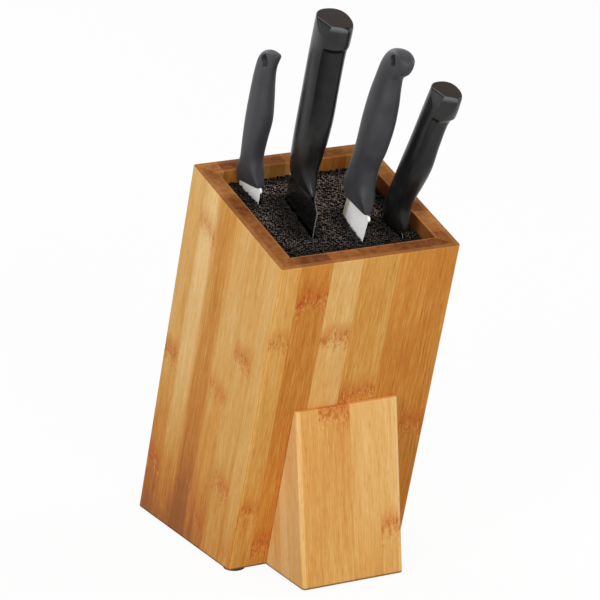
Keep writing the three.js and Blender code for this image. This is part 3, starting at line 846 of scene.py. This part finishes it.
# The cut ends are paler than the sides: part is the cut nylon's own colour, part is painted light falling
# on the ends from above
cut_end = nylon.mix(rod_tone, (18, 17, 16), (164, 146, 134))
bristle_nylon = nylon.surface(
    Base_Color=nylon.mix(rod_tip * (patch.smooth(0.2, 0.6) * 0.5 + 0.5), (12, 11, 11), cut_end),
    Roughness=rod_tone * 0.15 + 0.45,
    Specular_IOR_Level=0.1,
)
for number, bank in enumerate(banks, 1):
    mesh = bpy.data.meshes.new("bristles")
    mesh.from_pydata(bank["points"], [], bank["faces"])
    piece = bpy.data.objects.new("bristles", mesh)
    bpy.context.scene.collection.objects.link(piece)
    note(piece, "FACE", "rod_tone", bank["tone"])
    note(piece, "FACE", "rod_tip", bank["tip"])
    node = f"bristle_bank_{number}"
    deliver(piece, f"bristles_{number}", "insert", "bristle_plastic", bristle_nylon, node)

# ----------------------------------------
# Knives: pushed down between the bristles, each leaning its own way. Two have white ceramic blades and
# soft charcoal grips with a hang hole, two have steel blades and hard black handles with a hooked butt.
# A blade is flat ground from the middle of its side down to a fine edge, and its handle is moulded on.
# ----------------------------------------

# Sizes in mm in the knife's own frame, with heights from the bristles' tips:
# blade: its reach to the spine and to the edge, its depth in the bristles, and its thickness
# belly, spine_bend, tip_drop: how far up from the tip the edge and the spine curve, and the spine's drop
# heel: height and slope of a steel blade's heel
# lobe, spine_shade: radius of the bead at a ceramic blade's heel, and width of the strip of painted shade
# along its spine
# bottom: height, slope and rounding of the handle's lower end
# grip: stations of the handle, each with its height, reach to the spine and to the belly, and thickness
# butt: rounding of the handle's upper end at the spine, the belly and the sides, and its slope
# hole: height, offset to the spine, radius and point of the hang hole
# hook: start and end of the hand's recess under the hook, its share of the side, its depth, over what
# height it fades, and how much shallower it is on the right
knives = {
    "paring_knife": {
        "ceramic": True,
        "blade": (12, 12, 68, 1.8), "belly": 40, "spine_bend": 30, "tip_drop": 9, "lobe": 2, "spine_shade": 0.6,
        "bottom": (5.5, 0.27, 1),
        "grip": (
            (5, 12.6, 12.2, 6), (14, 13.6, 8.2, 10), (25, 11.6, 5, 12.5), (38, 12, 6, 13.5),
            (52, 12.4, 8.2, 14), (66, 12.2, 7, 13), (80, 12.4, 5.8, 10.5), (90, 12, 6.6, 8),
            (100, 11.4, 9.9, 7),
        ),
        "butt": (12.7, 2, 2.5, 0.14), "hole": (92.6, 0.9, 3.9, 4.7),
    },
    "chef_knife": {
        "ceramic": False,
        "blade": (21.5, 22.5, 184, 2.4), "belly": 130, "spine_bend": 90, "tip_drop": 12,
        "heel": (16.3, 0.5), "bottom": (20, 0.12, 1.5),
        "grip": (
            (20, 20.5, 14.2, 4.6), (24, 20.4, 11.6, 8), (28, 20.2, 9, 11), (33, 19.8, 6.8, 13.6),
            (39, 19.2, 6.3, 16), (46, 18.5, 7, 17.4), (54, 18, 7.9, 18.6), (72, 17.2, 9.8, 20),
            (88, 16.8, 10.2, 20.5), (104, 16.2, 9.5, 21), (118, 16.2, 9.8, 21), (132, 16.2, 11.2, 21),
            (139.3, 15.7, 11, 21),
        ),
        "butt": (1.1, 3, 1.1, 0), "hook": (56, 124.5, 0.165, 3.1, 40, 0.7),
    },
    "utility_knife": {
        "ceramic": True,
        "blade": (15.6, 16, 125, 2), "belly": 80, "spine_bend": 60, "tip_drop": 11, "lobe": 2, "spine_shade": 5,
        "bottom": (14.5, 0.21, 1),
        "grip": (
            (14.5, 17.4, 14, 5.2), (22, 19.2, 11.4, 10), (30, 20.4, 8, 13.5), (37, 18.6, 6, 15),
            (45, 16.2, 5, 16), (58, 15.8, 7.8, 17), (76, 16.7, 9.3, 17.5), (92, 16.9, 8.4, 16),
            (106, 15.8, 6.2, 13.5), (113, 15.4, 7, 12), (120, 15.2, 13.4, 11), (131.3, 14.3, 20, 11),
        ),
        "butt": (21, 11, 3, 0), "hole": (124, -3, 3.5, 4.6),
    },
    "slicing_knife": {
        "ceramic": False,
        "blade": (11, 11, 144, 2), "belly": 70, "spine_bend": 60, "tip_drop": 7,
        "heel": (1, 0.5), "bottom": (2.5, 0.2, 1.5),
        "grip": (
            (2.5, 13, 11.8, 5), (7, 13.8, 10, 8), (12, 14.2, 7.6, 11), (17, 14, 5.8, 13.6),
            (23, 13.2, 5.4, 15.4), (32, 11.7, 6.6, 17), (52, 10.4, 10.4, 18.5), (68, 9, 10.8, 19),
            (82, 8.3, 10.8, 19), (96, 8, 12.8, 19), (107.9, 7.4, 12.2, 18.5),
        ),
        "butt": (1.1, 2.8, 1.1, 0), "hook": (36, 92, 0.22, 2.9, 34, 0.35),
    },
}
# Half of a blade's thickness at its very edge, and what is free between its shoulders and the handle
blade_edge = 0.2
blade_gap = 0.05
# Points in a ring of a handle, the step between its rings, the rings in its rounded butt, and from what
# rounding on the butt has finer rings still
around = 128
ring_step = 1.8
butt_rings = 13
well_rounded = 4
# Squareness of a handle's section: of its length, and of its lower end if it is hard or if it is soft,
# which gives way over some height from a little above the end
squareness = 2.4
guard_squareness = 3.2
collar_squareness = 6
guard_keeps = 4
guard_fade = 14
# The recess under a hook: over what height its top is cut in, over what share its side is cut in and how
# crisp each is, how far its side edge slants, from where it gets shallower to the right and over how much,
# how much painted shade its top has, how fast the painted shade fades off its top and its side, and the
# finer rings at its top
recess_round = 8
recess_side = 0.17
top_crispness = 3.4
side_crispness = 2.5
side_slant = 0.22
lift_from = -0.3
lift_over = 0.9
top_shade = 0.85
top_fade = 1.5
side_fade = 0.8
fine_below = 1.5
fine_reach = 3.2
fine_step = 0.4
fine_steps = 7
# Two small flats on the rim of each hard handle's butt: the way each faces, its depth, and how far down
# from the butt it carries a painted highlight
butt_flats = (
    (Vector((-0.87, -0.27, 0.36)).normalized(), 2.3 * mm, 0.8 * mm),
    (Vector((-0.34, -0.89, 0.28)).normalized(), 2.4 * mm, 4 * mm),
)


def smooth_curve(stations, column):
    """A smooth curve of one column of a table over its first column, the height."""
    heights = [station[0] for station in stations]
    values = [station[column] for station in stations]

    def at(height):
        height = held(height, heights[0], heights[-1])
        low = max(number for number in range(len(heights) - 1) if heights[number] <= height)
        share = (height - heights[low]) / (heights[low + 1] - heights[low])
        before, here, there = values[max(low - 1, 0)], values[low], values[low + 1]
        after = values[min(low + 2, len(values) - 1)]
        bend = 2 * before - 5 * here + 4 * there - after
        twist = 3 * here - before - 3 * there + after
        return here + 0.5 * ((there - before) * share + bend * share**2 + twist * share**3)

    return at


def draw_in(distance, radius):
    """How far a rounded end has drawn in at a distance from it."""
    left = max(0, radius - distance)
    return radius - math.sqrt(radius**2 - left**2)


def loft(rings, painted_shades=None):
    """A closed skin over rings that have equal numbers of points, in mm: the first is drawn as a circle
    and filled, and each further one is extruded from the last and shaped to its ring. Painted shades, if
    they are given, are a number for each point, how much painted shade it has, for the material to read."""
    skin = start("circle", vertices=len(rings[0]), radius=1)
    bpy.ops.mesh.select_mode(type="VERT")
    bpy.ops.mesh.select_all(action="SELECT")
    bpy.ops.mesh.edge_face_add()
    shape = bmesh.from_edit_mesh(skin.data)
    shape.verts.layers.float.new("hollow")
    order = {vert.co.copy().freeze(): number for number, vert in enumerate(shape.verts)}
    for number, ring in enumerate(rings):
        if number:
            bpy.ops.mesh.extrude_region_move(TRANSFORM_OT_translate={"value": (0, 0, 0)})
        shape = bmesh.from_edit_mesh(skin.data)
        moved = [(vert, order[vert.co.copy().freeze()]) for vert in shape.verts if vert.select]
        hollow = shape.verts.layers.float["hollow"]
        order = {}
        for vert, place in moved:
            vert.co = Vector(ring[place]) * mm
            vert[hollow] = painted_shades[number][place] if painted_shades else 0
            order[vert.co.copy().freeze()] = place
    bpy.ops.mesh.select_all(action="SELECT")
    bpy.ops.mesh.normals_make_consistent(inside=False)
    bpy.ops.object.mode_set(mode="OBJECT")
    return skin


def signed(value, power):
    return math.copysign(abs(value) ** power, value)


def ring_heights(knife):
    """Heights of a handle's rings: closer where its ends are rounded and round the top of a recess."""
    low, _, low_round = knife["bottom"]
    high = knife["grip"][-1][0]
    butt_back, butt_front, butt_side, _ = knife["butt"]
    butt_round = max(butt_back, butt_front)
    heights = [low + low_round * share for share in (0, 0.08, 0.25, 0.55, 1)]
    turns = [math.pi / 2 * number / butt_rings for number in range(1, butt_rings + 1)]
    upper = [high - butt_round * (1 - math.sin(turn)) for turn in turns]
    first = heights[-1]
    count = round((upper[0] - first) / ring_step)
    heights += [first + (upper[0] - first) * number / count for number in range(1, count)] + upper
    if "hook" in knife:
        fine = knife["hook"][1] - fine_below
        heights = [height for height in heights if abs(height - fine) > fine_reach]
        heights += [fine + step * fine_step for step in range(-fine_steps, fine_steps + 1)]
    if butt_round > well_rounded:
        heights += [high - butt_side * share for share in (0.7, 0.45, 0.25, 0.1)]
    return sorted(heights)


def recess(hook, height, across, along):
    """How deep the hand's recess under a hook is at a point of a ring, cut in crisply at its top and its
    side and rounded into its floor, and how much painted shade it has there."""
    start_at, end_at, share, depth, fade, far_lift = hook
    under = held((end_at - height) / recess_round, 0, 1)
    beside = held((share + side_slant * ease(across) - (1 + along) / 2) / recess_side, 0, 1)
    faded = ease((height - start_at) / fade)
    sunk = depth * faded * (1 - (1 - under) ** top_crispness) * (1 - (1 - beside) ** side_crispness)
    sunk *= 1 - far_lift * ease((across - lift_from) / lift_over)
    if under > 0 and beside > 0:
        return sunk, faded * max((1 - under) ** top_fade * top_shade, (1 - beside) ** side_fade)
    return sunk, 0


def make_grip(knife):
    """A handle as ovals from its bottom up to its butt."""
    spine_at, belly_at, thick_at = (smooth_curve(knife["grip"], column) for column in (1, 2, 3))
    low, low_slope, low_round = knife["bottom"]
    high = knife["grip"][-1][0]
    butt_back, butt_front, butt_side, high_slope = knife["butt"]
    hook = knife.get("hook")
    rings, recess_shades = [], []
    for height in ring_heights(knife):
        bottom_in = draw_in(height - low, low_round)
        spine = spine_at(height) - bottom_in - draw_in(high - height, butt_back)
        belly = -belly_at(height) + bottom_in + draw_in(high - height, butt_front)
        half = thick_at(height) / 2 - bottom_in - draw_in(high - height, butt_side)
        slope = low_slope + (high_slope - low_slope) * ease((height - low) / (high - low))
        lower = guard_squareness if hook else collar_squareness
        power = squareness + (lower - squareness) * (1 - ease((height - low - guard_keeps) / guard_fade))
        ring, deep = [], []
        for number in range(around):
            angle = 2 * math.pi * number / around
            across, along = signed(math.cos(angle), 2 / power), signed(math.sin(angle), 2 / power)
            x, y = across * half, (spine + belly) / 2 + along * (spine - belly) / 2
            hollow = 0
            if hook:
                sunk, hollow = recess(hook, height, across, along)
                out_x = signed(across, power - 1) / half
                out_y = signed(along, power - 1) * 2 / (spine - belly)
                out = Vector((out_x, out_y)).normalized()
                x, y = x - out.x * sunk, y - out.y * sunk
            ring.append((x, y, height - slope * y))
            deep.append(hollow)
        rings.append(ring)
        recess_shades.append(deep)
    grip = loft(rings, recess_shades)
    if hook:
        for facing, depth, _ in butt_flats:
            reach = max(vert.co.dot(facing) for vert in grip.data.vertices)
            bpy.ops.object.mode_set(mode="EDIT")
            saw(facing * (reach - depth), facing)
            bpy.ops.object.mode_set(mode="OBJECT")
    return grip


def make_blade(knife):
    """A blade as sections from its tip up to its shoulders, which follow the bottom of the handle."""
    back, front, depth, thick = knife["blade"]
    low, slope, _ = knife["bottom"]
    belly, spine_bend, tip_drop = knife["belly"], knife["spine_bend"], knife["tip_drop"]
    tip_width, belly_power = 0.6, 2.4
    edge_share, edge_swell, heel_left = 0.025, 1.15, 2
    ground_to, spine_from, spine_left = 0.6, 0.97, 0.72

    def spine_at(z):
        return back - tip_drop * max(0, 1 - (z + depth) / spine_bend) ** 2

    def edge_at(z):
        curve = max(0, 1 - (z + depth) / belly) ** belly_power
        return -front + (front + back - tip_drop - tip_width) * curve

    heel_height, heel_slope = knife.get("heel", (1000, 0.5))
    shoulder = low - blade_gap
    neck = min(0, (shoulder - heel_height - heel_slope * front) / (heel_slope + slope))
    neck_share = (max(neck, -front + heel_left) + front) / (front + back)

    def half_at(share):
        return min(share / ground_to, 1) * (thick / 2 - blade_edge) + blade_edge

    # Columns of the section and half its thickness there, from the edge with its fine second bevel up one
    # side, over the rounded spine and down the other
    columns = [(0, blade_edge), (edge_share, half_at(edge_share) * edge_swell)]
    columns += [(share, half_at(share)) for share in (neck_share, ground_to, spine_from)]
    columns.append((1, spine_left * thick / 2))
    columns += [(share, -half) for share, half in columns[::-1]]
    # Where the sections stand, from the tip at 0 to the shoulders at 1
    steps = (
        0, 0.004, 0.012, 0.025, 0.045, 0.07, 0.1, 0.14, 0.18, 0.23, 0.28, 0.34, 0.4, 0.46, 0.53, 0.6, 0.68,
        0.76, 0.84, 0.92, 1,
    )
    rings = []
    for step in steps:
        ring = []
        for share, half in columns:
            y_top = -front + share * (front + back)
            top = min(shoulder - slope * y_top, heel_height + heel_slope * (y_top + front))
            z = -depth + step * (depth + top)
            ring.append((half, edge_at(z) + share * (spine_at(z) - edge_at(z)), z))
        rings.append(ring)
    blade = loft(rings)
    if "lobe" in knife:
        lobe = knife["lobe"]
        height = shoulder + slope * front - lobe
        knob = start(
            "cylinder", vertices=32, radius=lobe * mm, depth=thick * 0.8 * mm,
            rotation=(0, math.pi / 2, 0), location=(0, (-front + lobe / 3) * mm, height * mm),
        )
        round_off(lambda edge: abs(run(edge).x) < 0.1 and edge.calc_length() < lobe / 2 * mm, 0.3 * mm, 3)
        bpy.ops.object.mode_set(mode="OBJECT")
        combine(blade, knob, "UNION")
    return blade


def hang_hole(hole, half):
    """A cutter for a teardrop hole with its point up, which flares out where it leaves the handle."""
    height, back, radius, point = hole
    side = math.acos(radius / point)
    turns = [math.pi / 2 + side + (2 * math.pi - 2 * side) * number / 30 for number in range(31)]
    # Places across the handle, in halves of its thickness, and how much wider the hole is there
    flares = ((-2.2, 1.6), (-1, 0.45), (-0.86, 0), (0.86, 0), (1, 0.45), (2.2, 1.6))
    rings = []
    for x, flare in flares:
        wide = radius + flare
        ring = [(x * half, back + wide * math.cos(turn), height + wide * math.sin(turn)) for turn in turns]
        rings.append(ring + [(x * half, back, height + point * wide / radius)])
    return loft(rings)


def soften(piece, angle):
    """Smooth shading, with a crease wherever faces meet at more than the angle."""
    pick(piece)
    bpy.ops.object.shade_smooth_by_angle(angle=math.radians(angle))


def soft_charcoal(name, place):
    """Matt charcoal, a little darker at its lower end."""
    skin = Shader(name)
    haze = skin.noise(skin.place, 70.0, detail=3.0)
    low = skin.part(skin.framed(place.inverted()), "Z").smooth(55 * mm, 12 * mm)
    charcoal = skin.mix(haze.smooth(0.3, 0.7), (43, 43, 46), (52, 52, 56))
    return skin.surface(
        Base_Color=skin.mix(low * 0.5, charcoal, (34, 35, 37)),
        Roughness=haze * 0.1 + 0.5,
        Specular_IOR_Level=0.35,
        Sheen_Weight=0.08,
        Sheen_Roughness=0.4,
        Normal=skin.bump(skin.noise(skin.place, 2400.0), 0.25, 0.00006),
    )


def hard_black(name, place, butt_at, hook_at):
    """Glossy black, with painted shade and less coat in its recess, a matte butt with a painted brown
    reflection, and painted highlights on the butt's flats.
    """
    skin = Shader(name)
    haze = skin.noise(skin.place, 70.0, detail=3.0)
    rise = skin.part(skin.framed(place.inverted()), "Z")
    hollow = skin.attribute("hollow")
    butt = rise.smooth(butt_at - 0.12 * mm, butt_at - 0.02 * mm)
    low = rise.smooth(60 * mm, 15 * mm)
    collar = rise.smooth(hook_at - 8 * mm, hook_at)
    rim = rise.smooth(butt_at - 1.5 * mm, butt_at - 1 * mm) * (1 - butt)
    # Painted highlights on the butt's flats
    flat_highlight = 0
    for facing, _, reach in butt_flats:
        flat = skin.facing(place.to_3x3() @ facing).smooth(0.94, 0.99)
        flat_highlight = flat_highlight + flat * rise.smooth(butt_at - reach, butt_at)
    black = skin.mix(haze.smooth(0.3, 0.7), (17, 17, 18), (27, 26, 25))
    # Painted shade in the recess, painted highlights on the flats, and a painted brown reflection on the
    # butt
    black = skin.layered(
        black, (hollow * 0.8, (11, 11, 10)), (flat_highlight * 0.6, (128, 132, 136)), (butt, (41, 32, 27))
    )
    # Less coat in the recess and in a ring just under the butt paints shade there; there is also less
    # towards the lower end and on the butt
    shine = (1 - hollow * 0.9) * (1 - low * 0.25) * (1 - butt * 0.7) * (1 - rim * 0.8)
    return skin.surface(
        Base_Color=black,
        Roughness=haze * 0.12 + 0.2 + butt * 0.35,
        Specular_IOR_Level=0.06,
        Coat_Weight=shine * (collar * 0.3 + 0.82) * (haze * 0.3 + 0.38),
        Coat_Roughness=0.33,
        Normal=skin.bump(skin.noise(skin.place, 2400.0), 0.12, 0.00006),
    )


def white_ceramic(name, place, back, spine_shade):
    """White, with a strip of painted shade along the spine."""
    white = Shader(name)
    clouds = white.noise(white.place, 90.0, detail=3.0)
    across = white.part(white.framed(place.inverted()), "Y")
    # Painted shade in a strip along the spine
    spine = across.smooth((back - spine_shade - 0.6) * mm, (back - spine_shade) * mm)
    flank = white.mix(clouds.smooth(0.3, 0.7), (250, 249, 247), (253, 252, 251))
    return white.surface(
        Base_Color=white.mix(spine * 0.8, flank, (186, 176, 150)),
        Roughness=clouds * 0.1 + 0.22,
        Normal=white.bump(clouds, 0.05, 0.0001),
    )


def blade_steel(name, place):
    """Brushed along the blade, and brighter where the edge is ground."""
    metal = Shader(name)
    brushed = metal.stretched(metal.framed(place.inverted()), (40, 4000, 40))
    brushed = metal.noise(brushed, 1.0, detail=3.0)
    edge = metal.facing(place.to_3x3() @ Vector((0, -1, 0))).smooth(0.35, 0.7)
    steel = metal.mix(brushed.smooth(0.3, 0.7), (122, 124, 127), (142, 144, 147))
    return metal.surface(
        Base_Color=metal.mix(edge, steel, (238, 238, 236)),
        Metallic=1.0,
        Roughness=brushed * 0.14 + 0.1 + edge * 0.35,
        Normal=metal.bump(brushed, 0.05, 0.00005),
    )


soft_crease, hard_crease, blade_crease = 38, 26, 12
for (name, knife), own_place in zip(knives.items(), knife_places):
    place = tube_place @ own_place
    grip = make_grip(knife)
    blade = make_blade(knife)
    if knife["ceramic"]:
        thickness = smooth_curve(knife["grip"], 3)(knife["hole"][0])
        combine(grip, hang_hole(knife["hole"], thickness / 2), "DIFFERENCE")
        crease, slots = soft_crease, ("soft_grip", "white_ceramic")
        grip_stuff = soft_charcoal(name + "_grip", place)
        blade_stuff = white_ceramic(name + "_blade", place, knife["blade"][0], knife["spine_shade"])
    else:
        crease, slots = hard_crease, ("hard_grip", "blade_steel")
        grip_stuff = hard_black(name + "_grip", place, knife["grip"][-1][0] * mm, knife["hook"][1] * mm)
        blade_stuff = blade_steel(name + "_blade", place)
    grip.data.transform(place)
    blade.data.transform(place)
    soften(grip, crease)
    soften(blade, blade_crease)
    deliver(grip, name + "_grip", name, slots[0], grip_stuff, name + "_handle")
    deliver(blade, name + "_ground_blade", name, slots[1], blade_stuff, name + "_blade")
